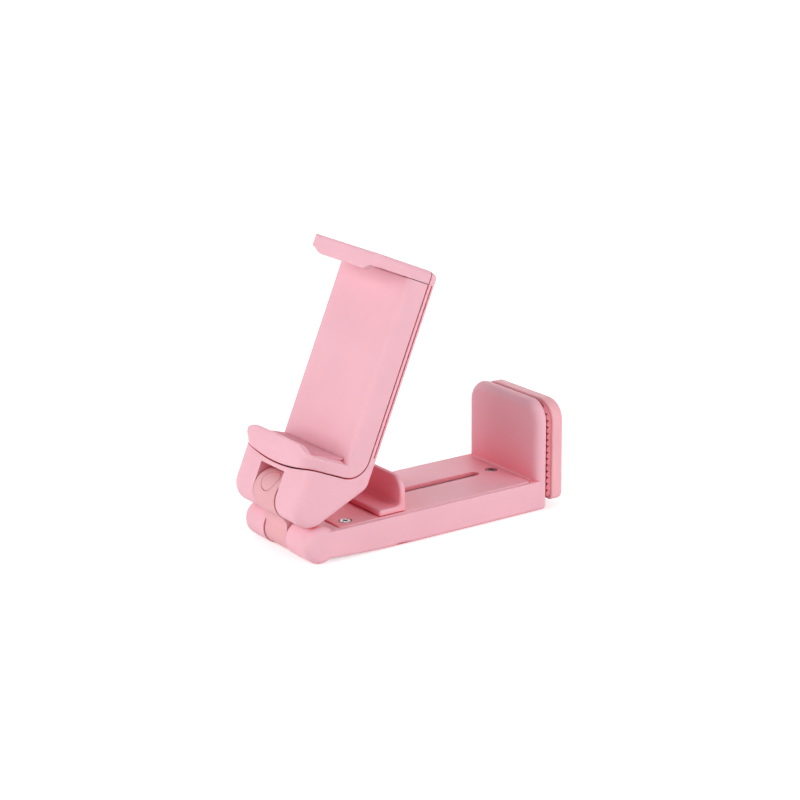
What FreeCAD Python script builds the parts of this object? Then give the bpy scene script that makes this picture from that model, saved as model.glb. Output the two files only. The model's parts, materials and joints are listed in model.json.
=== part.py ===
# Folding phone holder: a clamp base, a hinge link and a sprung phone clip.
# Frame: +X runs from the hinge to the clamp jaw, +Y to the far side, +Z up.
# The origin lies on the standing surface, below the middle of the base bar.
import FreeCAD
import Part
import math
import os
from FreeCAD import Vector

# Overall
WIDTH = 38.0
ORIGIN_X = 44.0            # hinge axis to the frame's origin

# Base bar
BAR_TOP = 10.2
BAR_END = 88.1             # hinge axis to the outer face of the fixed jaw
BAR_EDGE = 1.5             # rounding of the long lower edges
RIM_EDGE = 0.5
UNDER_FLAT = 34.0          # where the underside leaves the standing surface
UNDER_RISE = 1.3           # height of the underside at the hinge
FLOOR_T = 2.0
BARREL_R = 6.0             # hinge knuckle, which touches the standing surface
BARREL_END = 2.4           # rounding of the knuckle's outer ends

# Fixed jaw wall
WALL_T = 4.0
WALL_TOP = 37.2
WALL_CORNER = 7.0
WALL_INNER_EDGE = 3.0
WALL_OUTER_EDGE = 0.7
WALL_TOE_R = 1.9           # rounding of the wall's lower outer edge
WALL_COVE_R = 0.8          # hollow at the wall's foot
FIXED_PAD_T = 1.2
FIXED_PAD_HALF = 14.5
FIXED_PAD_LOW = 12.0
FIXED_PAD_HIGH = 33.0
FIXED_PAD_CORNER = 4.0

# Cover plate
COVER_START = 7.0
COVER_END = 1.2            # cover's end to the wall
COVER_HALF = 17.8
COVER_T = 1.2
COVER_PROUD = 0.3
COVER_CORNER = 1.6
COVER_BEVEL = 0.45
COVER_GAP = 0.15
SLOT_HALF = 2.0

# Screws
SCREW_HEAD_R = 2.0
SCREW_HEAD_T = 0.9
SCREW_SHANK_R = 1.0
SCREW_LENGTH = 5.0
SCREW_GAP = 0.03
CROSS_LENGTH = 2.3
CROSS_WIDTH = 0.6
CROSS_DEPTH = 0.6
END_SCREW_X = 79.7
PAIR_SCREW_X = 12.1
PAIR_SCREW_Y = 13.1
BOSS_R = 2.4

# Cavity of the bar
CAVITY_START = 17.0
CAVITY_END = 82.0
CAVITY_HALF = 15.2

# Movable jaw and its tongue
JAW_GAP = 2.4              # fixed wall to the movable plate, filled by the ribbed pad
JAW_T = 5.1
JAW_LOW = 2.5
JAW_TOP = 36.5
JAW_OUTER_EDGE = 2.0
JAW_INNER_EDGE = 0.6
JAW_LOW_CORNER = 2.0
JAW_TRAVEL = 41.0
TONGUE_LOW = 3.4
TONGUE_T = 4.0
RAIL_INNER = 4.2
RAIL_OUTER = 10.2
TONGUE_START = 20.5
CROSSBAR_T = 3.5
CROSSBAR_HALF = 14.8
BRIDGE_END = 33.5
SLIDE_GAP = 0.25
PAD_SHEET = 0.8
PAD_MARGIN = 0.7
RIB_R = 1.05
RIB_PITCH = 2.18
RIB_LOW = 5.2              # height of the lowest rib's middle
RIB_COUNT = 14

# Finger slider
SLIDER_START = 22.6
SLIDER_END = 32.8
SLIDER_HALF = 17.0
SLIDER_LIFT = 0.3
SLIDER_FOOT_T = 1.7
SLIDER_WALL_T = 2.2
SLIDER_TOP = 21.9
SLIDER_CORNER = 5.0
SLIDER_FILLET = 1.6
SLIDER_EDGE = 0.8
STEM_START = 25.8
STEM_HALF = 1.7
STOP_GAP = 0.4

# Hinge link
HINGE_DX = -2.9            # upper hinge axis from the lower one
HINGE_DZ = 12.9
LINK_HALF = 6.2
LINK_LOW_R = 5.7
LINK_HIGH_R = 6.9
LINK_BLEND_R = 5.0         # hollow between the link's two eyes
LINK_CLEAR = 0.7           # room round the link in the knuckle slot
WASHER_T = 0.4
WASHER_R = 4.4
WASHER_GAP = 0.05
PIN_R = 1.6
PIN_GAP = 0.03
PIN_BLIND = 3.5            # wall left at the closed end of a pin hole
PIN_SUNK = 1.5             # depth of a pin's end below the far face
PLUG_R = 3.6
PLUG_DEPTH = 3.0
PLUG_GAP = 0.15
PLUG_LIFT = 52.0           # degrees above the level, facing the hinge end

# Phone clip, drawn upright about its hinge axis: +x to its back, +z up the plate
TILT = 23.3                # lean of the plate from upright, degrees
PLATE_X = 6.3              # hinge axis to the plate's front face
SHELL_T = 7.8
BACK_T = 4.0
CLIP_WALL = 2.0
PARTING = 0.3              # seam between the clip's two halves
LIP_GAP = 0.5              # wider seam under the plate and the lower lip
SEAM_EDGE = 0.3
GROOVE_START = 1.0         # seam to the shadow groove along the back half
GROOVE_W = 0.5
GROOVE_DEPTH = 0.8
PLATE_BOTTOM = 11.9
PLATE_TOP = 76.6
PLATE_EDGE = 1.6
HEEL_R = 6.8               # rounding of the plate's lower back corner
CLIP_CAVITY_LOW = 20.0
CLIP_CAVITY_HALF = 17.0
CLIP_SCREW_Y = 12.0
CLIP_SCREW_Z = 24.0

# Lower lip
LIP_REACH = 15.4           # plate to the front of the lip
LIP_CORNER = 4.3
HOOK_T = 2.4
HOOK_INSET = 1.2           # lip's end to the foot of the hook's slope
HOOK_SLANT = 5.2
HOOK_RISE = 0.7            # top of the hook above the ledge at the plate
LEDGE_Z = 17.0
LEDGE_DROP = 1.3
KEEL = 2.5                 # bulge of the lower lip's underside
HULL_Z = 14.6              # below this the lip's wall draws in like a hull
HULL_FRONT = 2.2
HULL_SIDE = 2.0
LIP_EDGE = 0.8
LIP_PAD_T = 0.8
LIP_PAD_HALF = 16.4
LIP_PAD_SUNK = 0.4
LIP_PAD_INSET = 0.3

# Yoke
YOKE_R = 6.7
YOKE_RISE = 48.0           # slope of the underside in the clip's own frame, degrees
YOKE_BACK_R = 5.0
YOKE_EDGE = 3.2
YOKE_NECK_Z = 1.5          # top of the link's slot behind the axis

# Upper jaw
UPPER_REACH = 13.4         # plate to the front of the lip
UPPER_T = 4.1
UPPER_CORNER = 3.0
UPPER_EDGE = 1.0
UPPER_END_R = 1.8
UPPER_BACK_R = 5.0         # rounding over the top of the clip's back
UPPER_GAP = 0.2
UPPER_TRAVEL = 25.0
UPPER_HOOK_INSET = 3.2     # lip's end to the foot of the hook's slope
UPPER_HOOK_SLANT = 3.7
UPPER_HOOK_DROP = 1.75
RUNNER_X = 10.2
RUNNER_T = 3.0
RUNNER_HALF = 12.3
RUNNER_BAR_T = 3.5
RUNNER_BAR_HALF = 16.4

# Springs
WIRE_R = 0.35              # half the side of the square wire
JAW_SPRING_R = 1.6
JAW_SPRING_Y = 12.7
JAW_SPRING_TURNS = 9
CLIP_SPRING_R = 1.35
CLIP_SPRING_Y = 14.7
CLIP_SPRING_TURNS = 8
CLIP_SPRING_SHORT = 14.1   # length left to the clip springs at full travel
SPRING_GAP = 0.05

# Worked-out places
HALF = WIDTH / 2
WALL_X = BAR_END - WALL_T
COVER_FAR = WALL_X - COVER_END
COVER_LOW = BAR_TOP - COVER_T
COVER_HIGH = BAR_TOP + COVER_PROUD
JAW_X = BAR_END + JAW_GAP
TONGUE_HIGH = TONGUE_LOW + TONGUE_T
SLIDER_LOW = COVER_HIGH + SLIDER_LIFT
SLOT_START = STEM_START - STOP_GAP
SLOT_END = SLIDER_END + JAW_TRAVEL + STOP_GAP
HINGE_SLOT_HALF = LINK_HALF + WASHER_T + WASHER_GAP
SEAM_X = PLATE_X + SHELL_T
BACK_X = SEAM_X + BACK_T
LIP_X = PLATE_X - LIP_REACH
UPPER_X = PLATE_X - UPPER_REACH
UPPER_LOW = PLATE_TOP + UPPER_GAP
UPPER_HIGH = UPPER_LOW + UPPER_T
CLIP_CAVITY_HIGH = PLATE_TOP - CLIP_WALL
RUNNER_LOW = CLIP_CAVITY_HIGH - CLIP_SPRING_SHORT - UPPER_TRAVEL - RUNNER_BAR_T
TINY = 0.001


# Outlines and basic solids

def line(a, b):
    return ("line", a, b)


def arc(a, middle, b):
    return ("arc", a, middle, b)


def place(plane, point):
    u, v = point
    return {"xz": Vector(u, 0, v), "yz": Vector(0, u, v), "xy": Vector(u, v, 0)}[plane]


def outline_edges(outline, plane):
    edges = []
    for piece in outline:
        points = [place(plane, p) for p in piece[1:]]
        if piece[0] == "line":
            edges.append(Part.LineSegment(*points).toShape())
        else:
            edges.append(Part.Arc(*points).toShape())
    return edges


def extrude(outline, plane, low, high):
    normal = {"xz": Vector(0, 1, 0), "yz": Vector(1, 0, 0), "xy": Vector(0, 0, 1)}[plane]
    face = Part.Face(Part.Wire(outline_edges(outline, plane)))
    face.translate(normal * low)
    return face.extrude(normal * (high - low))


def taper(high_outline, high, low_outline, low):
    """Solid with straight walls between two plan outlines that have matching corners."""
    wires = []
    for outline, z in ((low_outline, low), (high_outline, high)):
        wire = Part.Wire(outline_edges(outline, "xy"))
        wire.translate(Vector(0, 0, z))
        wires.append(wire)
    return Part.makeLoft(wires, True, True)


def polygon(points):
    return [line(a, b) for a, b in zip(points, points[1:] + points[:1])]


def box(x0, x1, y0, y1, z0, z1):
    return Part.makeBox(x1 - x0, y1 - y0, z1 - z0, Vector(x0, y0, z0))


def rounded_outline(points, radii):
    """Closed polygon with each corner turned into a tangent arc of its own radius."""
    pieces = []
    count = len(points)
    ends = []
    for i, corner in enumerate(points):
        here = Vector(corner[0], corner[1], 0)
        before = (Vector(*points[i - 1], 0) - here).normalize()
        after = (Vector(*points[(i + 1) % count], 0) - here).normalize()
        if radii[i] == 0:
            ends.append((corner, None, corner))
            continue
        half = before.getAngle(after) / 2
        run = radii[i] / math.tan(half)
        middle_way = (before + after).normalize()
        deep = radii[i] / math.sin(half) - radii[i]
        a = here + before * run
        m = here + middle_way * deep
        b = here + after * run
        ends.append(((a.x, a.y), (m.x, m.y), (b.x, b.y)))
    for i, (a, m, b) in enumerate(ends):
        if m is not None:
            pieces.append(arc(a, m, b))
        pieces.append(line(b, ends[(i + 1) % count][0]))
    return pieces


def rounded_rectangle(u0, u1, v0, v1, low_radius, high_radius):
    corners = [(u0, v0), (u1, v0), (u1, v1), (u0, v1)]
    return rounded_outline(corners, [low_radius, low_radius, high_radius, high_radius])


def cylinder_y(x, z, radius, y0, y1):
    return Part.makeCylinder(radius, y1 - y0, Vector(x, y0, z), Vector(0, 1, 0))


def cylinder_z(x, y, radius, z0, z1):
    return Part.makeCylinder(radius, z1 - z0, Vector(x, y, z0), Vector(0, 0, 1))


def cylinder_x(y, z, radius, x0, x1):
    return Part.makeCylinder(radius, x1 - x0, Vector(x0, y, z), Vector(1, 0, 0))


def round_edges(shape, radius, test):
    return shape.makeFillet(radius, [e for e in shape.Edges if test(e.BoundBox)])


def near(a, b):
    return abs(a - b) < 0.02


def flat_at(low, high, value):
    return near(low, value) and near(high, value)


def both_sides(solid):
    return [solid, solid.mirror(Vector(0, 0, 0), Vector(0, 1, 0))]


def join(solids):
    return solids[0].multiFuse(solids[1:]).removeSplitter()


def cross_screw(length):
    """Round-headed screw, its head's seat at z = 0 and its shank below."""
    head = cylinder_z(0, 0, SCREW_HEAD_R, 0, SCREW_HEAD_T)
    rim = [e for e in head.Edges if flat_at(e.BoundBox.ZMin, e.BoundBox.ZMax, SCREW_HEAD_T)]
    head = head.makeChamfer(SCREW_HEAD_T / 3, rim)
    shank = cylinder_z(0, 0, SCREW_SHANK_R, -length, TINY)
    half = CROSS_LENGTH / 2
    thin = CROSS_WIDTH / 2
    low = SCREW_HEAD_T - CROSS_DEPTH
    cross = [box(-half, half, -thin, thin, low, SCREW_HEAD_T + 1),
             box(-thin, thin, -half, half, low, SCREW_HEAD_T + 1)]
    return join([head, shank]).cut(cross)


def coil_spring(radius, length, turns):
    """Coil of square wire along +Z from z = 0 to length, wire included."""
    height = length - 2 * WIRE_R
    path = Part.Wire(Part.makeHelix(height / turns, height, radius).Edges)
    across = [(WIRE_R, WIRE_R), (-WIRE_R, WIRE_R), (-WIRE_R, -WIRE_R), (WIRE_R, -WIRE_R), (WIRE_R, WIRE_R)]
    section = Part.makePolygon([Vector(radius + u, 0, v) for u, v in across])
    sweep = Part.BRepOffsetAPI.MakePipeShell(path)
    sweep.setFrenetMode(True)
    sweep.add(section)
    sweep.build()
    sweep.makeSolid()
    coil = sweep.shape()
    coil.translate(Vector(0, 0, WIRE_R))
    return coil


# Base

def screw_places():
    return [(END_SCREW_X, 0), (PAIR_SCREW_X, PAIR_SCREW_Y), (PAIR_SCREW_X, -PAIR_SCREW_Y)]


def base_bar():
    radius = (UNDER_FLAT ** 2 + UNDER_RISE ** 2) / (2 * UNDER_RISE)
    sag = radius - math.sqrt(radius ** 2 - (UNDER_FLAT / 2) ** 2)
    end = BAR_END - WALL_OUTER_EDGE - TINY
    side = [line((UNDER_FLAT, 0), (end, 0)),
            line((end, 0), (end, BAR_TOP)),
            line((end, BAR_TOP), (0, BAR_TOP)),
            line((0, BAR_TOP), (0, UNDER_RISE)),
            arc((0, UNDER_RISE), (UNDER_FLAT / 2, sag), (UNDER_FLAT, 0))]
    bar = extrude(side, "xz", -HALF, HALF)
    bar = round_edges(bar, BAR_EDGE, lambda b: b.ZMax < UNDER_RISE + 0.1 and b.YLength < 0.1)
    return round_edges(bar, RIM_EDGE, lambda b: flat_at(b.ZMin, b.ZMax, BAR_TOP) and b.YLength < 0.1)


def jaw_wall():
    face = rounded_rectangle(-HALF, HALF, 0, WALL_TOP, BAR_EDGE, WALL_CORNER)
    wall = extrude(face, "yz", WALL_X, BAR_END)
    wall = round_edges(wall, WALL_INNER_EDGE,
                       lambda b: flat_at(b.XMin, b.XMax, WALL_X) and b.ZMax > BAR_TOP)
    return round_edges(wall, WALL_OUTER_EDGE, lambda b: flat_at(b.XMin, b.XMax, BAR_END))


def wall_cove():
    """Hollow-faced strip in the corner between the wall and the bar's top."""
    start = WALL_X - WALL_COVE_R
    top = BAR_TOP + WALL_COVE_R
    dip = WALL_COVE_R * math.sqrt(0.5)
    side = [line((start, BAR_TOP), (start, BAR_TOP - RIM_EDGE)),
            line((start, BAR_TOP - RIM_EDGE), (WALL_X + RIM_EDGE, BAR_TOP - RIM_EDGE)),
            line((WALL_X + RIM_EDGE, BAR_TOP - RIM_EDGE), (WALL_X + RIM_EDGE, top)),
            line((WALL_X + RIM_EDGE, top), (WALL_X, top)),
            arc((WALL_X, top), (start + dip, top - dip), (start, BAR_TOP))]
    half = HALF - WALL_INNER_EDGE
    return extrude(side, "xz", -half, half)


def wall_toe():
    """Corner taken off along the wall's lower outer edge to leave it round."""
    start = BAR_END - WALL_TOE_R
    dip = WALL_TOE_R * math.sqrt(0.5)
    side = [arc((start, 0), (start + dip, WALL_TOE_R - dip), (BAR_END, WALL_TOE_R)),
            line((BAR_END, WALL_TOE_R), (BAR_END + 1, WALL_TOE_R)),
            line((BAR_END + 1, WALL_TOE_R), (BAR_END + 1, -1)),
            line((BAR_END + 1, -1), (start, -1)),
            line((start, -1), (start, 0))]
    return extrude(side, "xz", -WIDTH, WIDTH)


def base_housing():
    barrel = cylinder_y(0, BARREL_R, BARREL_R, -HALF, HALF)
    barrel = round_edges(barrel, BARREL_END, lambda b: b.YLength < 0.1)
    body = join([base_bar(), barrel, jaw_wall(), wall_cove()])
    corner = COVER_CORNER + COVER_GAP
    recess = rounded_rectangle(COVER_START - COVER_GAP, COVER_FAR + COVER_GAP, -COVER_HALF - COVER_GAP,
                               COVER_HALF + COVER_GAP, corner, corner)
    recess = extrude(recess, "xy", COVER_LOW, BAR_TOP + 1)
    cavity = box(CAVITY_START, CAVITY_END, -CAVITY_HALF, CAVITY_HALF, FLOOR_T, COVER_LOW + TINY)
    boss = cylinder_z(END_SCREW_X, 0, BOSS_R, FLOOR_T, COVER_LOW + TINY)
    web = box(END_SCREW_X, CAVITY_END, -BOSS_R / 2, BOSS_R / 2, FLOOR_T, COVER_LOW + TINY)
    cavity = cavity.cut([boss, web])
    windows = both_sides(rail_box(SLIDE_GAP).common(box(CAVITY_END, JAW_X, 0, WIDTH, 0, BAR_TOP)))
    knuckle_slot = box(-BARREL_R - 1, LINK_LOW_R + LINK_CLEAR, -HINGE_SLOT_HALF, HINGE_SLOT_HALF,
                       -1, 2 * BARREL_R + 1)
    pin_hole = cylinder_y(0, BARREL_R, PIN_R + PIN_GAP, -HALF + PIN_BLIND, HALF + 1)
    pad_seat = extrude(fixed_pad_outline(COVER_GAP), "yz", BAR_END - FIXED_PAD_T, BAR_END + 1)
    pilots = [cylinder_z(x, y, SCREW_SHANK_R + SCREW_GAP, FLOOR_T, BAR_TOP) for x, y in screw_places()]
    return body.cut([recess, cavity, knuckle_slot, pin_hole, pad_seat, wall_toe()] + windows + pilots)


def fixed_pad_outline(grow):
    half = FIXED_PAD_HALF + grow
    corner = FIXED_PAD_CORNER + grow
    return rounded_rectangle(-half, half, FIXED_PAD_LOW - grow, FIXED_PAD_HIGH + grow, corner, corner)


def fixed_jaw_pad():
    return extrude(fixed_pad_outline(0), "yz", BAR_END - FIXED_PAD_T, BAR_END)


def base_cover():
    plan = rounded_rectangle(COVER_START, COVER_FAR, -COVER_HALF, COVER_HALF, COVER_CORNER, COVER_CORNER)
    plate = extrude(plan, "xy", COVER_LOW, COVER_HIGH)
    top_edges = [e for e in plate.Edges if flat_at(e.BoundBox.ZMin, e.BoundBox.ZMax, COVER_HIGH)]
    plate = plate.makeChamfer(COVER_BEVEL, top_edges)
    slot = extrude(rounded_rectangle(SLOT_START, SLOT_END, -SLOT_HALF, SLOT_HALF,
                                     SLOT_HALF - TINY, SLOT_HALF - TINY), "xy", COVER_LOW - 1, COVER_HIGH + 1)
    holes = []
    for x, y in screw_places():
        holes.append(cylinder_z(x, y, SCREW_HEAD_R + COVER_GAP, COVER_HIGH - SCREW_HEAD_T, COVER_HIGH + 1))
        holes.append(cylinder_z(x, y, SCREW_SHANK_R + SCREW_GAP, COVER_LOW - 1, COVER_HIGH + 1))
    return plate.cut([slot] + holes)


def cover_screws():
    screws = []
    for x, y in screw_places():
        screw = cross_screw(SCREW_LENGTH)
        screw.translate(Vector(x, y, COVER_HIGH - SCREW_HEAD_T))
        screws.append(screw)
    return Part.makeCompound(screws)


def hinge_pin(x, z):
    return cylinder_y(x, z, PIN_R, -HALF + PIN_BLIND + PIN_GAP, HALF - PIN_SUNK)


def hinge_washers(x, z):
    start = LINK_HALF + WASHER_GAP
    ring = cylinder_y(x, z, WASHER_R, start, start + WASHER_T)
    ring = ring.cut(cylinder_y(x, z, PIN_R + PIN_GAP, start - 1, start + WASHER_T + 1))
    return Part.makeCompound(both_sides(ring))


def jaw_springs():
    start = TONGUE_START + CROSSBAR_T + SPRING_GAP
    coil = coil_spring(JAW_SPRING_R, CAVITY_END - SPRING_GAP - start, JAW_SPRING_TURNS)
    coil.rotate(Vector(0, 0, 0), Vector(0, 1, 0), 90)
    coil.translate(Vector(start, JAW_SPRING_Y, (TONGUE_LOW + TONGUE_HIGH) / 2))
    return Part.makeCompound(both_sides(coil))


# Movable jaw

def movable_jaw():
    face = rounded_rectangle(-HALF, HALF, JAW_LOW, JAW_TOP, JAW_LOW_CORNER, WALL_CORNER)
    plate = extrude(face, "yz", JAW_X, JAW_X + JAW_T)
    plate = round_edges(plate, JAW_OUTER_EDGE, lambda b: flat_at(b.XMin, b.XMax, JAW_X + JAW_T))
    plate = round_edges(plate, JAW_INNER_EDGE, lambda b: flat_at(b.XMin, b.XMax, JAW_X))
    rails = both_sides(rail_box(0))
    bridge = box(TONGUE_START, BRIDGE_END, -RAIL_OUTER, RAIL_OUTER, TONGUE_LOW, TONGUE_HIGH)
    crossbar = box(TONGUE_START, TONGUE_START + CROSSBAR_T, -CROSSBAR_HALF, CROSSBAR_HALF,
                   TONGUE_LOW, TONGUE_HIGH)
    jaw = join([plate, bridge, crossbar] + rails)
    x = slider_screw_x()
    head_seat = cylinder_z(x, 0, SCREW_HEAD_R + COVER_GAP, TONGUE_LOW - 1, TONGUE_LOW + SCREW_HEAD_T)
    shank_hole = cylinder_z(x, 0, SCREW_SHANK_R + SCREW_GAP, TONGUE_LOW - 1, TONGUE_HIGH + 1)
    return jaw.cut([head_seat, shank_hole])


def jaw_pad():
    outline = rounded_rectangle(-HALF + PAD_MARGIN, HALF - PAD_MARGIN, JAW_LOW + PAD_MARGIN,
                                JAW_TOP - PAD_MARGIN, JAW_LOW_CORNER, WALL_CORNER - PAD_MARGIN)
    face = JAW_X - PAD_SHEET
    sheet = extrude(outline, "yz", face, JAW_X)
    room = extrude(outline, "yz", face - RIB_R, face + PAD_SHEET / 2)
    ribs = []
    for i in range(RIB_COUNT):
        z = RIB_LOW + i * RIB_PITCH
        ribs.append(cylinder_y(face, z, RIB_R, -WIDTH, WIDTH).common(room))
    return join([sheet] + ribs).cut(both_sides(rail_box(SLIDE_GAP)))


def rail_box(grow):
    return box(TONGUE_START, JAW_X + 1, RAIL_INNER - grow, RAIL_OUTER + grow, TONGUE_LOW - grow,
               TONGUE_HIGH + grow)


# Finger slider

def slider_screw_x():
    return (STEM_START + SLIDER_END) / 2


def finger_slider():
    top = SLIDER_LOW + SLIDER_FOOT_T
    inner = SLIDER_END - SLIDER_WALL_T
    side = rounded_outline([(SLIDER_START, SLIDER_LOW), (SLIDER_END, SLIDER_LOW), (SLIDER_END, SLIDER_TOP),
                            (inner, SLIDER_TOP), (inner, top), (SLIDER_START, top)],
                           [0, 0, 0, 0, SLIDER_FILLET, SLIDER_EDGE])
    bracket = extrude(side, "xz", -SLIDER_HALF, SLIDER_HALF)
    front = rounded_rectangle(-SLIDER_HALF, SLIDER_HALF, SLIDER_LOW - 1, SLIDER_TOP, 0, SLIDER_CORNER)
    bracket = bracket.common(extrude(front, "yz", 0, WIDTH))
    bracket = round_edges(bracket, SLIDER_EDGE,
                          lambda b: flat_at(b.XMin, b.XMax, SLIDER_END) and b.ZMax > top)
    bracket = round_edges(bracket, SLIDER_EDGE, lambda b: flat_at(b.XMin, b.XMax, inner) and b.ZMax > top)
    stem = extrude(rounded_rectangle(STEM_START, SLIDER_END, -STEM_HALF, STEM_HALF, STEM_HALF - TINY,
                                     STEM_HALF - TINY), "xy", TONGUE_HIGH, SLIDER_LOW + TINY)
    x = slider_screw_x()
    depth = TONGUE_LOW + SCREW_HEAD_T + SCREW_LENGTH
    pilot = cylinder_z(x, 0, SCREW_SHANK_R + SCREW_GAP, TONGUE_HIGH - 1, depth + SCREW_GAP)
    return join([bracket, stem]).cut(pilot)


def slider_screw():
    screw = cross_screw(SCREW_LENGTH)
    screw.rotate(Vector(0, 0, 0), Vector(1, 0, 0), 180)
    screw.translate(Vector(slider_screw_x(), 0, TONGUE_LOW + SCREW_HEAD_T))
    return screw


# Hinge link

def upper_axis():
    return HINGE_DX, BARREL_R + HINGE_DZ


def plug_way():
    lift = math.radians(PLUG_LIFT)
    return Vector(-math.cos(lift), 0, math.sin(lift))


def plug_cylinder(radius, start, length):
    x, z = upper_axis()
    way = plug_way()
    return Part.makeCylinder(radius, length, Vector(x, 0, z) + way * start, way)


def link_flank(side):
    """Hollow arc that joins the two eyes tangentially, on the side +1 or -1 of their centre line."""
    x, z = upper_axis()
    low = Vector(0, BARREL_R, 0)
    high = Vector(x, z, 0)
    apart = high.distanceToPoint(low)
    along = (high - low).normalize()
    across = Vector(along.y, -along.x, 0) * side
    from_low = LINK_LOW_R + LINK_BLEND_R
    from_high = LINK_HIGH_R + LINK_BLEND_R
    reach = (from_low ** 2 - from_high ** 2 + apart ** 2) / (2 * apart)
    centre = low + along * reach + across * math.sqrt(from_low ** 2 - reach ** 2)
    ends = [centre + (eye - centre).normalize() * LINK_BLEND_R for eye in (low, high)]
    middle = centre - across * LINK_BLEND_R
    return arc((ends[0].x, ends[0].y), (middle.x, middle.y), (ends[1].x, ends[1].y))


def hinge_link():
    x, z = upper_axis()
    low = cylinder_y(0, BARREL_R, LINK_LOW_R, -LINK_HALF, LINK_HALF)
    high = cylinder_y(x, z, LINK_HIGH_R, -LINK_HALF, LINK_HALF)
    left = link_flank(-1)
    right = link_flank(1)
    neck = [left, line(left[3], right[3]), arc(right[3], right[2], right[1]), line(right[1], left[1])]
    link = join([low, high, extrude(neck, "xz", -LINK_HALF, LINK_HALF)])
    holes = [cylinder_y(0, BARREL_R, PIN_R + PIN_GAP, -HALF, HALF),
             cylinder_y(x, z, PIN_R + PIN_GAP, -HALF, HALF),
             plug_cylinder(PLUG_R + PLUG_GAP, LINK_HIGH_R - PLUG_DEPTH, LINK_HIGH_R)]
    return link.cut(holes)


def link_plug():
    x, z = upper_axis()
    plug = plug_cylinder(PLUG_R, LINK_HIGH_R - PLUG_DEPTH, LINK_HIGH_R)
    return plug.common(cylinder_y(x, z, LINK_HIGH_R, -LINK_HALF, LINK_HALF))


# Phone clip, in its own upright frame

def front_block(behind, below):
    """Front half of the slab, enlarged at its back by behind and at its bottom by below."""
    low = PLATE_BOTTOM - below
    heel = HEEL_R + below
    back = SEAM_X + behind
    dip = heel * (1 - math.sqrt(0.5))
    side = [line((PLATE_X, PLATE_TOP), (PLATE_X, low)),
            line((PLATE_X, low), (back - heel, low)),
            arc((back - heel, low), (back - dip, low + dip), (back, low + heel)),
            line((back, low + heel), (back, PLATE_TOP)),
            line((back, PLATE_TOP), (PLATE_X, PLATE_TOP))]
    return extrude(side, "xz", -HALF, HALF)


def lip_face(grow):
    """Lower lip seen along x: keel-shaped underside, sloping shoulders and the hook between them."""
    low = PLATE_BOTTOM - grow
    shoulder = LEDGE_Z - LEDGE_DROP
    hook_end = HALF - HOOK_INSET
    hook_half = hook_end - HOOK_SLANT
    top = LEDGE_Z + HOOK_RISE
    return [arc((-HALF, low), (0, low - KEEL), (HALF, low)),
            line((HALF, low), (HALF, shoulder)),
            line((HALF, shoulder), (hook_end, shoulder)),
            line((hook_end, shoulder), (hook_half, top)),
            line((hook_half, top), (-hook_half, top)),
            line((-hook_half, top), (-hook_end, shoulder)),
            line((-hook_end, shoulder), (-HALF, shoulder)),
            line((-HALF, shoulder), (-HALF, low))]


def lower_lip():
    """Hull-shaped lower lip: a sloping ledge for the phone behind a hook with soft edges."""
    block = extrude(lip_face(0), "yz", LIP_X, PLATE_X + 1)
    upper = lip_plan(0, 0)
    rim = extrude(upper, "xy", HULL_Z, PLATE_TOP)
    hull = taper(upper, HULL_Z, lip_plan(HULL_FRONT, HULL_SIDE), PLATE_BOTTOM - KEEL - TINY)
    hook_x = LIP_X + HOOK_T
    top = LEDGE_Z + HOOK_RISE
    section = rounded_outline([(LIP_X, 0), (PLATE_X + 1, 0), (PLATE_X + 1, LEDGE_Z), (PLATE_X, LEDGE_Z),
                               (hook_x, LEDGE_Z - LEDGE_DROP), (hook_x, top), (LIP_X, top)],
                              [0, 0, 0, 0, 0, LIP_EDGE, LIP_EDGE])
    return block.common(join([rim, hull])).common(extrude(section, "xz", -HALF, HALF))


def lip_plan(front_in, side_in):
    """Plan of the lower lip, its front drawn in by front_in and its front corners by side_in."""
    front = LIP_X + front_in
    back = PLATE_X + 1
    tip = HALF - side_in
    return rounded_outline([(front, -tip), (back, -HALF), (back, HALF), (front, tip)],
                           [LIP_CORNER, 0, 0, LIP_CORNER])


def clip_screw_places():
    return [(CLIP_SCREW_Y, CLIP_SCREW_Z), (-CLIP_SCREW_Y, CLIP_SCREW_Z)]


def clip_front():
    shell = front_block(0, 0)
    shell = round_edges(shell, PLATE_EDGE, lambda b: flat_at(b.XMin, b.XMax, PLATE_X) and b.YLength < 0.1)
    shell = round_edges(shell, SEAM_EDGE, lambda b: b.XMax > PLATE_X + PLATE_EDGE + 1 and b.YLength < 0.1
                        and near(abs(b.YMin), HALF) and b.ZMin < PLATE_TOP - SEAM_EDGE)
    cavity = box(PLATE_X + CLIP_WALL, SEAM_X + 1, -CLIP_CAVITY_HALF, CLIP_CAVITY_HALF,
                 CLIP_CAVITY_LOW, CLIP_CAVITY_HIGH)
    bosses = [cylinder_x(y, z, BOSS_R, PLATE_X, SEAM_X + 1) for y, z in clip_screw_places()]
    pilots = [cylinder_x(y, z, SCREW_SHANK_R + SCREW_GAP, PLATE_X + CLIP_WALL, SEAM_X + 1)
              for y, z in clip_screw_places()]
    window = box(RUNNER_X - SLIDE_GAP, RUNNER_X + RUNNER_T + SLIDE_GAP, -RUNNER_HALF - SLIDE_GAP,
                 RUNNER_HALF + SLIDE_GAP, CLIP_CAVITY_HIGH - 1, PLATE_TOP + 1)
    body = join([shell, lower_lip()])
    pad_seat = lower_pad_block(COVER_GAP, LEDGE_Z)
    return body.cut([cavity.cut(bosses), window, pad_seat] + pilots)


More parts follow.
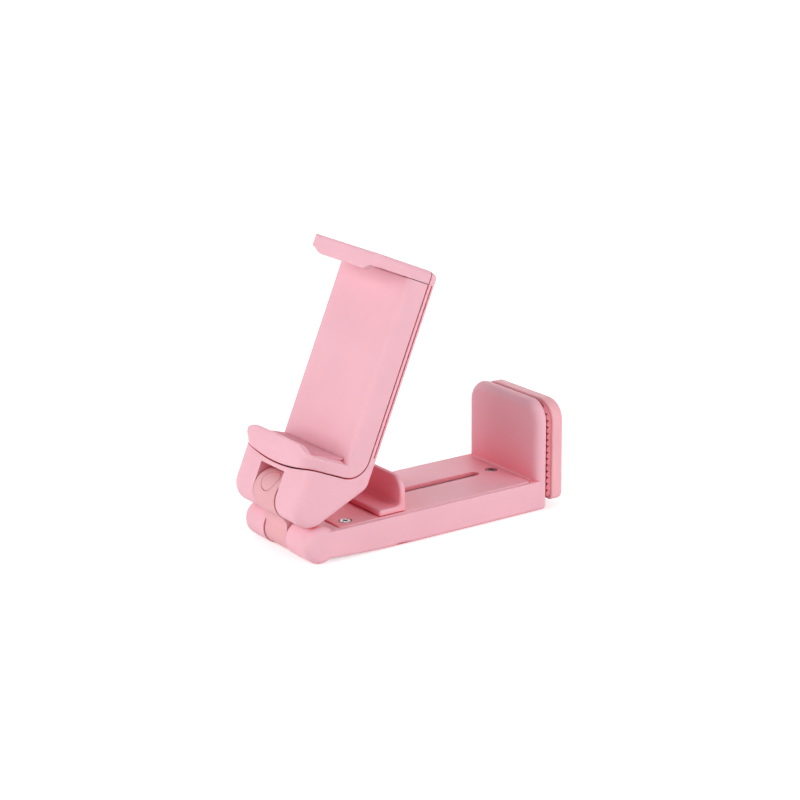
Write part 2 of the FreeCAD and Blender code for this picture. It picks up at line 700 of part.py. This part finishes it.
def lower_pad_block(grow, top):
    """Block along the sloping ledge, its top at the given height at the plate."""
    x0 = LIP_X + HOOK_T + LIP_PAD_INSET - grow
    x1 = PLATE_X - LIP_PAD_INSET + grow
    slope = LEDGE_DROP / (LIP_REACH - HOOK_T)
    high0 = top - slope * (PLATE_X - x0)
    high1 = top - slope * (PLATE_X - x1)
    low0 = LEDGE_Z - LIP_PAD_SUNK - slope * (PLATE_X - x0)
    low1 = LEDGE_Z - LIP_PAD_SUNK - slope * (PLATE_X - x1)
    half = LIP_PAD_HALF + grow
    return extrude(polygon([(x0, low0), (x1, low1), (x1, high1), (x0, high0)]), "xz", -half, half)


def lower_lip_pad():
    return lower_pad_block(0, LEDGE_Z - LIP_PAD_SUNK + LIP_PAD_T)


def yoke_outline():
    rise = math.radians(YOKE_RISE)
    along = Vector(math.cos(rise), math.sin(rise), 0)
    touch = Vector(math.sin(rise), -math.cos(rise), 0) * YOKE_R
    # The underside leaves the nose at touch and climbs to the back face, with a round corner
    reach = (BACK_X - touch.x) / along.x
    corner = touch + along * reach
    run = YOKE_BACK_R / math.tan((math.pi / 2 + rise) / 2)
    a = corner - along * run
    b = Vector(corner.x, corner.y + run, 0)
    centre = Vector(BACK_X - YOKE_BACK_R, b.y, 0)
    m = centre + (corner - centre).normalize() * YOKE_BACK_R
    nose = Vector(-1, -1, 0).normalize() * YOKE_R
    top = CLIP_CAVITY_LOW
    inner_x = PLATE_X + CLIP_WALL / 2
    step_z = PLATE_BOTTOM + 1
    return [arc((-YOKE_R, 0), (nose.x, nose.y), (touch.x, touch.y)),
            line((touch.x, touch.y), (a.x, a.y)),
            arc((a.x, a.y), (m.x, m.y), (b.x, b.y)),
            line((b.x, b.y), (BACK_X, top)),
            line((BACK_X, top), (inner_x, top)),
            line((inner_x, top), (inner_x, step_z)),
            line((inner_x, step_z), (-YOKE_R, step_z)),
            line((-YOKE_R, step_z), (-YOKE_R, 0))]


def clip_frame():
    yoke = extrude(yoke_outline(), "xz", -HALF, HALF)
    inner_x = PLATE_X + CLIP_WALL / 2

    def outer_edge(b):
        on_side = near(abs(b.YMin), HALF) and b.YLength < 0.1
        inside = b.XMin > inner_x - 0.1 and flat_at(b.ZMin, b.ZMax, CLIP_CAVITY_LOW)
        step = flat_at(b.ZMin, b.ZMax, PLATE_BOTTOM + 1)
        rise = flat_at(b.XMin, b.XMax, inner_x)
        return on_side and not (inside or step or rise)

    yoke = round_edges(yoke, YOKE_EDGE, outer_edge)
    start = SEAM_X + PARTING
    plan = rounded_outline([(start, -HALF), (BACK_X, -HALF), (BACK_X, HALF), (start, HALF)],
                           [0, YOKE_EDGE, YOKE_EDGE, 0])
    back = extrude(plan, "xy", CLIP_CAVITY_LOW - TINY, UPPER_HIGH).common(top_profile(start, BACK_X))
    groove_x = start + GROOVE_START
    groove = box(groove_x, groove_x + GROOVE_W, HALF - GROOVE_DEPTH, HALF, CLIP_CAVITY_LOW, PLATE_TOP)
    room = box(SEAM_X - 1, BACK_X - CLIP_WALL, -CLIP_CAVITY_HALF, CLIP_CAVITY_HALF,
               CLIP_CAVITY_LOW, CLIP_CAVITY_HIGH)
    slot_r = LINK_HIGH_R + LINK_CLEAR
    far_x = 2 * BACK_X
    slot = [cylinder_y(0, 0, slot_r, -HINGE_SLOT_HALF, HINGE_SLOT_HALF),
            box(-far_x, 0, -HINGE_SLOT_HALF, HINGE_SLOT_HALF, -far_x, slot_r),
            box(0, far_x, -HINGE_SLOT_HALF, HINGE_SLOT_HALF, -far_x, YOKE_NECK_Z)]
    pin_hole = cylinder_y(0, 0, PIN_R + PIN_GAP, -HALF + PIN_BLIND, HALF + 1)
    holes = []
    for y, z in clip_screw_places():
        holes.append(cylinder_x(y, z, SCREW_HEAD_R + COVER_GAP, BACK_X - SCREW_HEAD_T, BACK_X + 1))
        holes.append(cylinder_x(y, z, SCREW_SHANK_R + SCREW_GAP, SEAM_X, BACK_X + 1))
    posts = [cylinder_x(y, z, BOSS_R, start, BACK_X - CLIP_WALL / 2) for y, z in clip_screw_places()]
    lip_room = extrude(lip_face(LIP_GAP), "yz", -far_x, PLATE_X + 1)
    cuts = [front_block(PARTING, LIP_GAP), lip_room] + both_sides(groove) + slot
    frame = join([yoke, back]).cut(cuts + [room.cut(posts), pin_hole] + holes)
    return frame


def clip_screws():
    screws = []
    for y, z in clip_screw_places():
        screw = cross_screw(SCREW_LENGTH)
        screw.rotate(Vector(0, 0, 0), Vector(0, 1, 0), 90)
        screw.translate(Vector(BACK_X - SCREW_HEAD_T, y, z))
        screws.append(screw)
    return Part.makeCompound(screws)


def clip_springs():
    start = RUNNER_LOW + RUNNER_BAR_T + SPRING_GAP
    coil = coil_spring(CLIP_SPRING_R, CLIP_CAVITY_HIGH - SPRING_GAP - start, CLIP_SPRING_TURNS)
    coil.translate(Vector(RUNNER_X + RUNNER_T / 2, CLIP_SPRING_Y, start))
    return Part.makeCompound(both_sides(coil))


def top_profile(x0, x1):
    """Slice from x0 to x1 of the clip's side outline, whose top is rounded over to the back."""
    side = rounded_outline([(UPPER_X, 0), (BACK_X, 0), (BACK_X, UPPER_HIGH), (UPPER_X, UPPER_HIGH)],
                           [0, 0, UPPER_BACK_R, UPPER_EDGE])
    front = rounded_rectangle(-HALF, HALF, 0, UPPER_HIGH, 0, UPPER_END_R)
    return extrude(side, "xz", -HALF, HALF).common(extrude(front, "yz", x0, x1))


def upper_jaw():
    hook_end = HALF - UPPER_HOOK_INSET
    hook_half = hook_end - UPPER_HOOK_SLANT
    hook_z = UPPER_LOW - UPPER_HOOK_DROP
    face = polygon([(-HALF, UPPER_LOW), (-hook_end, UPPER_LOW), (-hook_half, hook_z), (hook_half, hook_z),
                    (hook_end, UPPER_LOW), (HALF, UPPER_LOW), (HALF, UPPER_HIGH), (-HALF, UPPER_HIGH)])
    lip = extrude(face, "yz", UPPER_X, SEAM_X)
    plan = rounded_outline([(SEAM_X, -HALF), (SEAM_X, HALF), (UPPER_X, HALF), (UPPER_X, -HALF)],
                           [0, 0, UPPER_CORNER, UPPER_CORNER])
    lip = lip.common(extrude(plan, "xy", hook_z - 1, UPPER_HIGH + 1))
    hook_x = UPPER_X + HOOK_T
    section = rounded_outline([(UPPER_X, hook_z), (hook_x, hook_z), (hook_x, UPPER_LOW), (SEAM_X, UPPER_LOW),
                               (SEAM_X, UPPER_HIGH), (UPPER_X, UPPER_HIGH)],
                              [LIP_EDGE, LIP_EDGE, 0, 0, 0, 0])
    lip = lip.common(extrude(section, "xz", -HALF, HALF)).common(top_profile(UPPER_X, SEAM_X))
    runner = box(RUNNER_X, RUNNER_X + RUNNER_T, -RUNNER_HALF, RUNNER_HALF, RUNNER_LOW, UPPER_LOW + 1)
    bar = box(RUNNER_X, RUNNER_X + RUNNER_T, -RUNNER_BAR_HALF, RUNNER_BAR_HALF,
              RUNNER_LOW, RUNNER_LOW + RUNNER_BAR_T)
    return join([lip, runner, bar]).cut(upper_pad_block(COVER_GAP, UPPER_LOW))


def upper_pad_block(grow, low):
    x0 = UPPER_X + HOOK_T + LIP_PAD_INSET - grow
    x1 = PLATE_X - LIP_PAD_INSET + grow
    half = LIP_PAD_HALF + grow
    return box(x0, x1, -half, half, low, UPPER_LOW + LIP_PAD_SUNK)


def upper_lip_pad():
    return upper_pad_block(0, UPPER_LOW + LIP_PAD_SUNK - LIP_PAD_T)


# Assembly

def lean(shape):
    """Turns a clip piece from its upright frame to where it stands."""
    x, z = upper_axis()
    shape.rotate(Vector(0, 0, 0), Vector(0, 1, 0), TILT)
    shape.translate(Vector(x, 0, z))
    return shape


def pieces():
    return {
        "base_housing": base_housing(),
        "base_cover": base_cover(),
        "cover_screws": cover_screws(),
        "fixed_jaw_pad": fixed_jaw_pad(),
        "base_hinge_pin": hinge_pin(0, BARREL_R),
        "base_hinge_washers": hinge_washers(0, BARREL_R),
        "jaw_springs": jaw_springs(),
        "movable_jaw": movable_jaw(),
        "jaw_pad": jaw_pad(),
        "finger_slider": finger_slider(),
        "slider_screw": slider_screw(),
        "hinge_link": hinge_link(),
        "link_plug": link_plug(),
        "clip_frame": lean(clip_frame()),
        "clip_front": lean(clip_front()),
        "clip_screws": lean(clip_screws()),
        "clip_hinge_pin": lean(hinge_pin(0, 0)),
        "clip_hinge_washers": lean(hinge_washers(0, 0)),
        "lower_lip_pad": lean(lower_lip_pad()),
        "clip_springs": lean(clip_springs()),
        "upper_jaw": lean(upper_jaw()),
        "upper_lip_pad": lean(upper_lip_pad()),
    }


os.makedirs("parts", exist_ok=True)
for name, shape in pieces().items():
    shape.translate(Vector(-ORIGIN_X, 0, 0))
    shape.exportStep("parts/" + name + ".step")
    print(name, len(shape.Solids), "valid" if shape.isValid() else "INVALID", round(shape.Volume, 1))
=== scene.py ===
import json
import math
import bpy
from mathutils import Matrix, Vector


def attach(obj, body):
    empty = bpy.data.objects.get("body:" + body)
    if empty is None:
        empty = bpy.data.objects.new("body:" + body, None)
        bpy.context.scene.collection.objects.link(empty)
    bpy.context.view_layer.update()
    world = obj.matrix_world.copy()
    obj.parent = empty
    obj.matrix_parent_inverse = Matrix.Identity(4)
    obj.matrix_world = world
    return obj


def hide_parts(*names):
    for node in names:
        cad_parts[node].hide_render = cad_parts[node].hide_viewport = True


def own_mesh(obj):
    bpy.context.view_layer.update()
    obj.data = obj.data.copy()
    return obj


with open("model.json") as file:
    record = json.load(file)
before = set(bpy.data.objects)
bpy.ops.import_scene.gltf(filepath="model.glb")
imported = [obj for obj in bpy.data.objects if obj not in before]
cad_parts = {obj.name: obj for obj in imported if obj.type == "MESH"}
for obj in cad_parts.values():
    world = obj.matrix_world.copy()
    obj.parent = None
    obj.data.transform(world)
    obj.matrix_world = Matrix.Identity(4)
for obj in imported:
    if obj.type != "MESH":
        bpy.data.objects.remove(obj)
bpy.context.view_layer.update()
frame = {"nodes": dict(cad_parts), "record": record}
nodes = frame["nodes"]
scene = bpy.context.scene
scene.view_settings.view_transform = "Standard"

# All lengths are in metres

# Colours of the mouldings and pads, as sRGB levels from 0 to 255
PINK = (242, 187, 199)
PEACH = (232, 174, 180)
JAW_PEACH = (245, 182, 190)
WASHER_GREY = (222, 216, 210)
RUBBER_PINK = (226, 158, 172)
# The jaw pads' pink is partly their own colour and partly painted light: it is made redder for the pink
# light that bounces in the gap between the jaws
JAW_RUBBER_BOUNCE_PINK = (232, 136, 148)

# Colours of the metal and the paper, in linear light
# The steel's grey is partly its own colour and partly painted shade: it is kept dark for the clip's shade
# and the dark pink parts it reflects
STEEL_DARK = (0.24, 0.23, 0.23, 1.0)
STEEL_LIGHT = (0.42, 0.40, 0.40, 1.0)
# Painted shade for the screw's driver recess
STEEL_RECESS_SHADE = (0.03, 0.022, 0.022, 1.0)
PAPER_DARK = (0.86, 0.86, 0.86, 1.0)
PAPER_LIGHT = (0.88, 0.88, 0.88, 1.0)
WHITE = (1.0, 1.0, 1.0, 1.0)

# Painted shade: the colour is made darker and redder in hollows, and much more in narrow gaps. It stands
# in for the shade there and for light that has met the pink plastic twice or more.
# The painted shade is a tint that multiplies the piece's own colour. Openness runs from 0, closed in, to
# 1, free.
HOLLOW_REACH = 0.08
GAP_REACH = 0.0015
PAINTED_GAP_SHADE = (1.1, 0.16, 0.22)
GAP_CLOSED = 0.05
PLASTIC_GAP_CLEAR = 0.5
RUBBER_GAP_CLEAR = 0.6

# Painted shade in hollows: tint, whether only the piece's own faces close them, openness at full tint,
# openness at no tint
WALL_HOLLOW_SHADE = ((1.02, 0.47, 0.5), True, 0.4, 0.93)
FAINT_HOLLOW_SHADE = ((1.0, 0.52, 0.55), True, 0.1, 0.6)
YOKE_HOLLOW_SHADE = ((1.0, 0.4, 0.44), True, 0.15, 0.7)
COVER_HOLLOW_SHADE = ((1.1, 0.47, 0.51), False, 0.1, 0.84)

# Shine grows with openness, so that narrow gaps stay dark
SHINE_CLOSED = 0.2
SHINE_CLEAR = 0.8

# Noise scales are in cells per metre, and most of a noise lies between these two values
NOISE_LOW = 0.3
NOISE_HIGH = 0.7
PLAIN_DETAIL = 1.0
FINE_DETAIL = 2.0
RICH_DETAIL = 3.0
POWDER_DETAIL = 4.0

# Rays that the shader spends on openness and on soft edges
OPENNESS_SAMPLES = 8
EDGE_SAMPLES = 6

# Plastic
CLOUD_SCALE = 55.0
CLOUD_SHADE = 0.955
CLOUD_LOW = 0.32
CLOUD_HIGH = 0.68
PLASTIC_SHINE = 0.15
PINK_ROUGHNESS = 0.5
PEACH_ROUGHNESS = 0.48
WASHER_ROUGHNESS = 0.35
PLASTIC_POLISH_SCALE = 900.0
PLASTIC_POLISH_SPREAD = 0.05
PLASTIC_BUMP = 0.05
SWELL_SCALE = 70.0
SWELL_HEIGHT = 0.0006
PLASTIC_GRAIN_SCALE = 3200.0
PLASTIC_GRAIN_HEIGHT = 0.00005
PLASTIC_EDGE = 0.0003
SCATTER_WEIGHT = 0.15
SCATTER_RADIUS = (1.0, 0.6, 0.6)
SCATTER_SCALE = 0.001

# Rubber
POWDER_SCALE = 160.0
POWDER_SHADE = 0.86
RUBBER_SHINE = 0.25
RUBBER_POLISH_SCALE = 700.0
RUBBER_SMOOTH = 0.62
RUBBER_ROUGH = 0.8
RUBBER_BUMP = 0.15
RUBBER_GRAIN_SCALE = 1800.0
RUBBER_GRAIN_HEIGHT = 0.00008
RUBBER_EDGE = 0.0002

# Steel
TARNISH_SCALE = 420.0
# Painted shade in the screw's driver recess
RECESS_SHADE_REACH = 0.0008
RECESS_SHADE_CLOSED = 0.35
RECESS_SHADE_CLEAR = 0.85
STEEL_POLISH_SCALE = 1500.0
STEEL_SMOOTH = 0.26
STEEL_ROUGH = 0.4
STEEL_BUMP = 0.08
STEEL_GRAIN_SCALE = 2600.0
STEEL_GRAIN_HEIGHT = 0.00004
STEEL_EDGE = 0.00008

# Paper floor: its own light grows with the distance from the object, where the lamps no longer reach
FLOOR_HALF = 6.0
FLOOR_DROP = 0.00005
PAPER_SCALE = 40.0
PAPER_ROUGHNESS = 0.9
PAPER_SHINE = 0.1
GLOW_NEAR = 0.12
GLOW_FAR = 0.7
GLOW_LEAST = 0.5
GLOW_MOST = 1.0

# Lamps: name, place, height of the point they face, width and height, watts
LAMPS = [
    ("left", (-0.92, 0.12, 0.42), 0.04, (1.1, 0.7), 8.1),
    ("right", (0.40, -0.95, 0.38), 0.03, (0.7, 0.7), 7.7),
    ("top", (0.05, 0.10, 1.1), 0.03, (0.8, 0.8), 2.2),
    ("back", (0.60, 0.80, 0.45), 0.04, (0.8, 0.6), 2.4),
]
WORLD_LEVEL = 0.13
WORLD_SEEN = 1.0

# Camera at the photograph's place: angles in degrees, and the focal length in pixels of an 800-pixel frame
AZIMUTH = -34.979
ELEVATION = 16.739
ROLL = -0.403
DISTANCE = 0.74125
TARGET = Vector((-0.00138, 0.0, 0.04141))
FOCAL_PIXELS = 2300.0
FRAME_PIXELS = 800.0
SENSOR_WIDTH = 36.0
NEAR_CLIP = 0.01


# Materials

def linear(rgb):
    """Linear colour of an sRGB triple from 0 to 255."""
    out = []
    for level in rgb:
        c = level / 255.0
        out.append(c / 12.92 if c <= 0.04045 else ((c + 0.055) / 1.055) ** 2.4)
    return (*out, 1.0)


def toned(colour, tint):
    """The colour's channels times the tint's."""
    return (*(min(1.0, c * t) for c, t in zip(colour, tint)), 1.0)


def shaded(colour, share):
    """The colour, darkened to that share of its light."""
    return toned(colour, (share, share, share))


class Graph:
    """A new material's node tree, with its shader and short calls to add nodes."""

    def __init__(self, name):
        self.material = bpy.data.materials.new(name)
        self.material.use_nodes = True
        self.tree = self.material.node_tree
        self.shader = self.tree.nodes["Principled BSDF"]
        self.place = self.add("ShaderNodeTexCoord").outputs["Object"]

    def add(self, kind, **settings):
        node = self.tree.nodes.new(kind)
        for key, value in settings.items():
            setattr(node, key, value)
        return node

    def link(self, a, b):
        self.tree.links.new(a, b)

    def fix(self, socket, value):
        """Sets the shader's socket to a value that is the same everywhere."""
        self.shader.inputs[socket].default_value = value

    def feed(self, socket, output):
        """Links a node's output to the shader's socket."""
        self.link(output, self.shader.inputs[socket])

    def noise(self, scale, detail):
        node = self.add("ShaderNodeTexNoise")
        node.inputs["Scale"].default_value = scale
        node.inputs["Detail"].default_value = detail
        self.link(self.place, node.inputs["Vector"])
        return node.outputs["Fac"]

    def ramp(self, fac, start, end, low, high):
        """Colour that runs from low to high while fac runs from start to end."""
        node = self.add("ShaderNodeValToRGB")
        for stop, at, colour in zip(node.color_ramp.elements, (start, end), (low, high)):
            stop.position = at
            stop.color = colour
        self.link(fac, node.inputs["Fac"])
        return node.outputs["Color"]

    def openness(self, reach, alone):
        """How free a spot lies, from 0 deep in a gap to 1 on an open face, looking as far as reach."""
        node = self.add("ShaderNodeAmbientOcclusion", samples=OPENNESS_SAMPLES, only_local=alone)
        node.inputs["Distance"].default_value = reach
        return node.outputs["AO"]

    def between(self, fac, start, end, low, high):
        """Value that runs from low to high while fac runs from start to end."""
        node = self.add("ShaderNodeMapRange")
        for name, value in (("From Min", start), ("From Max", end), ("To Min", low), ("To Max", high)):
            node.inputs[name].default_value = value
        self.link(fac, node.inputs["Value"])
        return node.outputs["Result"]

    def uneven(self, scale, low, high):
        """Value that wanders between low and high over the surface."""
        return self.between(self.noise(scale, FINE_DETAIL), NOISE_LOW, NOISE_HIGH, low, high)

    def blend(self, fac, colour, other):
        """Colour that turns into the fixed colour other as fac goes from 0 to 1."""
        node = self.add("ShaderNodeMixRGB")
        node.inputs["Color2"].default_value = other
        self.link(fac, node.inputs["Fac"])
        self.link(colour, node.inputs["Color1"])
        return node.outputs["Color"]

    def soft_edges(self, radius):
        """Normals that run round each sharp edge, as the small radius of a moulding does."""
        node = self.add("ShaderNodeBevel", samples=EDGE_SAMPLES)
        node.inputs["Radius"].default_value = radius
        return node.outputs["Normal"]

    def bump(self, fac, strength, distance, below):
        node = self.add("ShaderNodeBump")
        node.inputs["Strength"].default_value = strength
        node.inputs["Distance"].default_value = distance
        self.link(fac, node.inputs["Height"])
        self.link(below, node.inputs["Normal"])
        return node.outputs["Normal"]


def moulded_plastic(name, colour, roughness, hollows=None):
    """Satin moulded plastic: a faint cloudy tint, a fine spark-eroded grain and a low swell. When hollows
    are given, painted shade darkens and reddens its hollows and narrow gaps.
    """
    g = Graph(name)
    light = linear(colour)
    clouds = g.noise(CLOUD_SCALE, FINE_DETAIL)
    tint = g.ramp(clouds, CLOUD_LOW, CLOUD_HIGH, shaded(light, CLOUD_SHADE), light)
    free = g.openness(GAP_REACH, False)
    if hollows:
        painted_hollow_shade, alone, closed, clear = hollows
        # Painted shade: darker, redder colour in the hollows and in narrow gaps
        hollow_shade_fac = g.between(g.openness(HOLLOW_REACH, alone), closed, clear, 1.0, 0.0)
        tint = g.blend(hollow_shade_fac, tint, toned(light, painted_hollow_shade))
        gap_shade_fac = g.between(free, GAP_CLOSED, PLASTIC_GAP_CLEAR, 1.0, 0.0)
        tint = g.blend(gap_shade_fac, tint, toned(light, PAINTED_GAP_SHADE))
    g.feed("Base Color", tint)
    g.feed("Specular IOR Level", g.between(free, SHINE_CLOSED, SHINE_CLEAR, 0.0, PLASTIC_SHINE))
    smooth = roughness - PLASTIC_POLISH_SPREAD
    rough = roughness + PLASTIC_POLISH_SPREAD
    g.feed("Roughness", g.uneven(PLASTIC_POLISH_SCALE, smooth, rough))
    swell = g.noise(SWELL_SCALE, PLAIN_DETAIL)
    swollen = g.bump(swell, PLASTIC_BUMP, SWELL_HEIGHT, g.soft_edges(PLASTIC_EDGE))
    grain = g.noise(PLASTIC_GRAIN_SCALE, FINE_DETAIL)
    g.feed("Normal", g.bump(grain, PLASTIC_BUMP, PLASTIC_GRAIN_HEIGHT, swollen))
    g.fix("Subsurface Weight", SCATTER_WEIGHT)
    g.fix("Subsurface Radius", SCATTER_RADIUS)
    g.fix("Subsurface Scale", SCATTER_SCALE)
    return g.material


def soft_rubber(name, colour):
    """Matt silicone: cloudy tint, a fine powdery grain and painted shade in narrow gaps."""
    g = Graph(name)
    light = linear(colour)
    powder = g.noise(POWDER_SCALE, POWDER_DETAIL)
    tint = g.ramp(powder, NOISE_LOW, NOISE_HIGH, shaded(light, POWDER_SHADE), light)
    free = g.openness(GAP_REACH, False)
    # Painted shade: darker, redder colour in narrow gaps
    gap_shade_fac = g.between(free, GAP_CLOSED, RUBBER_GAP_CLEAR, 1.0, 0.0)
    g.feed("Base Color", g.blend(gap_shade_fac, tint, toned(light, PAINTED_GAP_SHADE)))
    g.feed("Specular IOR Level", g.between(free, SHINE_CLOSED, SHINE_CLEAR, 0.0, RUBBER_SHINE))
    g.feed("Roughness", g.uneven(RUBBER_POLISH_SCALE, RUBBER_SMOOTH, RUBBER_ROUGH))
    grain = g.noise(RUBBER_GRAIN_SCALE, RICH_DETAIL)
    g.feed("Normal", g.bump(grain, RUBBER_BUMP, RUBBER_GRAIN_HEIGHT, g.soft_edges(RUBBER_EDGE)))
    return g.material


def bright_steel(name):
    """Zinc-bright steel with a fine grain, an uneven polish and painted shade in the driver's recess."""
    g = Graph(name)
    tarnish = g.noise(TARNISH_SCALE, RICH_DETAIL)
    tint = g.ramp(tarnish, NOISE_LOW, NOISE_HIGH, STEEL_DARK, STEEL_LIGHT)
    # Painted shade: the driver's recess is darkened
    recess_shade = g.between(g.openness(RECESS_SHADE_REACH, False), RECESS_SHADE_CLOSED, RECESS_SHADE_CLEAR, 1.0, 0.0)
    g.feed("Base Color", g.blend(recess_shade, tint, STEEL_RECESS_SHADE))
    g.fix("Metallic", 1.0)
    g.feed("Roughness", g.uneven(STEEL_POLISH_SCALE, STEEL_SMOOTH, STEEL_ROUGH))
    grain = g.noise(STEEL_GRAIN_SCALE, FINE_DETAIL)
    g.feed("Normal", g.bump(grain, STEEL_BUMP, STEEL_GRAIN_HEIGHT, g.soft_edges(STEEL_EDGE)))
    return g.material


def dress_nodes():
    """Gives each CAD node the material of its slot, or one of its own: plastics that differ only in their
    painted shade, and a jaw rubber that is partly painted light.
    """
    by_slot = {
        "pink_plastic": moulded_plastic("pink_plastic", PINK, PINK_ROUGHNESS, FAINT_HOLLOW_SHADE),
        "peach_plastic": moulded_plastic("peach_plastic", PEACH, PEACH_ROUGHNESS, FAINT_HOLLOW_SHADE),
        "washer_plastic": moulded_plastic("washer_plastic", WASHER_GREY, WASHER_ROUGHNESS),
        "soft_rubber": soft_rubber("soft_rubber", RUBBER_PINK),
        "steel": bright_steel("steel"),
    }
    # These copies of the plastics differ from the slot materials only in their painted shade in hollows
    # and gaps
    cover_pink = moulded_plastic("pink_plastic_cover", PINK, PINK_ROUGHNESS, COVER_HOLLOW_SHADE)
    # Jaw pad rubber, reddened partly by painted bounce light
    jaw_rubber = soft_rubber("soft_rubber_jaw", JAW_RUBBER_BOUNCE_PINK)
    by_node = {
        "base_housing": moulded_plastic("pink_plastic_base", PINK, PINK_ROUGHNESS, WALL_HOLLOW_SHADE),
        "base_cover": cover_pink,
        "finger_slider": cover_pink,
        "clip_frame": moulded_plastic("pink_plastic_yoke", PINK, PINK_ROUGHNESS, YOKE_HOLLOW_SHADE),
        "jaw_pad": jaw_rubber,
        "fixed_jaw_pad": jaw_rubber,
        "movable_jaw": moulded_plastic("peach_plastic_jaw", JAW_PEACH, PEACH_ROUGHNESS, FAINT_HOLLOW_SHADE),
    }
    for part in frame["record"]["subparts"]:
        mesh = nodes[part["node"]].data
        mesh.materials.clear()
        mesh.materials.append(by_node.get(part["node"], by_slot[part["material_slot"]]))


dress_nodes()


# Springs

def spring_coils(node, body):
    """Coils that stand for the node: a copy of its mesh, fixed to the body, with the node itself hidden.
    """
    coils = bpy.data.objects.new(f"{node}_coils", nodes[node].data.copy())
    scene.collection.objects.link(coils)
    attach(coils, body)
    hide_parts(node)
    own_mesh(coils)


spring_coils("jaw_springs", "base")
spring_coils("clip_springs", "clip")


# Floor and backdrop

def floor_material():
    """White paper: keeps the soft shadow, and reads as clean white to the camera."""
    g = Graph("white_paper")
    mottle = g.noise(PAPER_SCALE, FINE_DETAIL)
    g.feed("Base Color", g.ramp(mottle, NOISE_LOW, NOISE_HIGH, PAPER_DARK, PAPER_LIGHT))
    g.fix("Roughness", PAPER_ROUGHNESS)
    g.fix("Specular IOR Level", PAPER_SHINE)
    rays = g.add("ShaderNodeLightPath")
    seen = g.add("ShaderNodeMath", operation="MAXIMUM")
    g.link(rays.outputs["Is Camera Ray"], seen.inputs[0])
    g.link(rays.outputs["Is Glossy Ray"], seen.inputs[1])
    away = g.add("ShaderNodeVectorMath", operation="LENGTH")
    g.link(g.place, away.inputs[0])
    glow = g.between(away.outputs["Value"], GLOW_NEAR, GLOW_FAR, GLOW_LEAST, GLOW_MOST)
    lift = g.add("ShaderNodeMath", operation="MULTIPLY")
    g.link(seen.outputs[0], lift.inputs[0])
    g.link(glow, lift.inputs[1])
    g.fix("Emission Color", WHITE)
    g.feed("Emission Strength", lift.outputs[0])
    return g.material


def floor_sheet():
    """A wide sheet of paper, a hair below the base."""
    mesh = bpy.data.meshes.new("paper")
    signs = ((-1, -1), (1, -1), (1, 1), (-1, 1))
    corners = [(x * FLOOR_HALF, y * FLOOR_HALF, -FLOOR_DROP) for x, y in signs]
    mesh.from_pydata(corners, [], [(0, 1, 2, 3)])
    sheet = bpy.data.objects.new("paper", mesh)
    scene.collection.objects.link(sheet)
    mesh.materials.append(floor_material())


floor_sheet()


# Light

def world_light():
    """A dim white world, shown as plain white to the camera and in reflections."""
    world = bpy.data.worlds.new("studio")
    scene.world = world
    world.use_nodes = True
    tree = world.node_tree
    backdrop = tree.nodes["Background"]
    backdrop.inputs["Color"].default_value = WHITE
    rays = tree.nodes.new("ShaderNodeLightPath")
    seen = rays.outputs["Is Camera Ray"]
    for kind in ("Is Glossy Ray", "Is Transmission Ray"):
        either = tree.nodes.new("ShaderNodeMath")
        either.operation = "MAXIMUM"
        tree.links.new(seen, either.inputs[0])
        tree.links.new(rays.outputs[kind], either.inputs[1])
        seen = either.outputs[0]
    level = tree.nodes.new("ShaderNodeMapRange")
    level.inputs["To Min"].default_value = WORLD_LEVEL
    level.inputs["To Max"].default_value = WORLD_SEEN
    tree.links.new(seen, level.inputs["Value"])
    tree.links.new(level.outputs["Result"], backdrop.inputs["Strength"])


def soft_box(name, place, aim_height, size, power):
    """A rectangular lamp that faces a point above the origin."""
    lamp = bpy.data.lights.new(name, "AREA")
    lamp.shape = "RECTANGLE"
    lamp.size, lamp.size_y = size
    lamp.energy = power
    holder = bpy.data.objects.new(name, lamp)
    scene.collection.objects.link(holder)
    way = Vector((0.0, 0.0, aim_height)) - Vector(place)
    turn = way.to_track_quat("-Z", "Y").to_matrix().to_4x4()
    holder.matrix_world = Matrix.Translation(Vector(place)) @ turn


world_light()
for lamp_values in LAMPS:
    soft_box(*lamp_values)


# Camera

def photo_camera():
    """A camera at the photograph's angle, with its roll."""
    camera = bpy.data.cameras.new("camera")
    camera.sensor_width = SENSOR_WIDTH
    camera.lens = FOCAL_PIXELS / FRAME_PIXELS * SENSOR_WIDTH
    camera.clip_start = NEAR_CLIP
    holder = bpy.data.objects.new("camera", camera)
    scene.collection.objects.link(holder)
    a, e, r = (math.radians(v) for v in (AZIMUTH, ELEVATION, ROLL))
    back = Vector((math.sin(a) * math.cos(e), -math.cos(a) * math.cos(e), math.sin(e)))
    level_right = Vector((math.cos(a), math.sin(a), 0.0))
    level_up = back.cross(level_right)
    right = level_right * math.cos(r) + level_up * math.sin(r)
    up = level_up * math.cos(r) - level_right * math.sin(r)
    turn = Matrix((right, up, back)).transposed().to_4x4()
    holder.matrix_world = Matrix.Translation(TARGET + back * DISTANCE) @ turn
    scene.camera = holder


photo_camera()
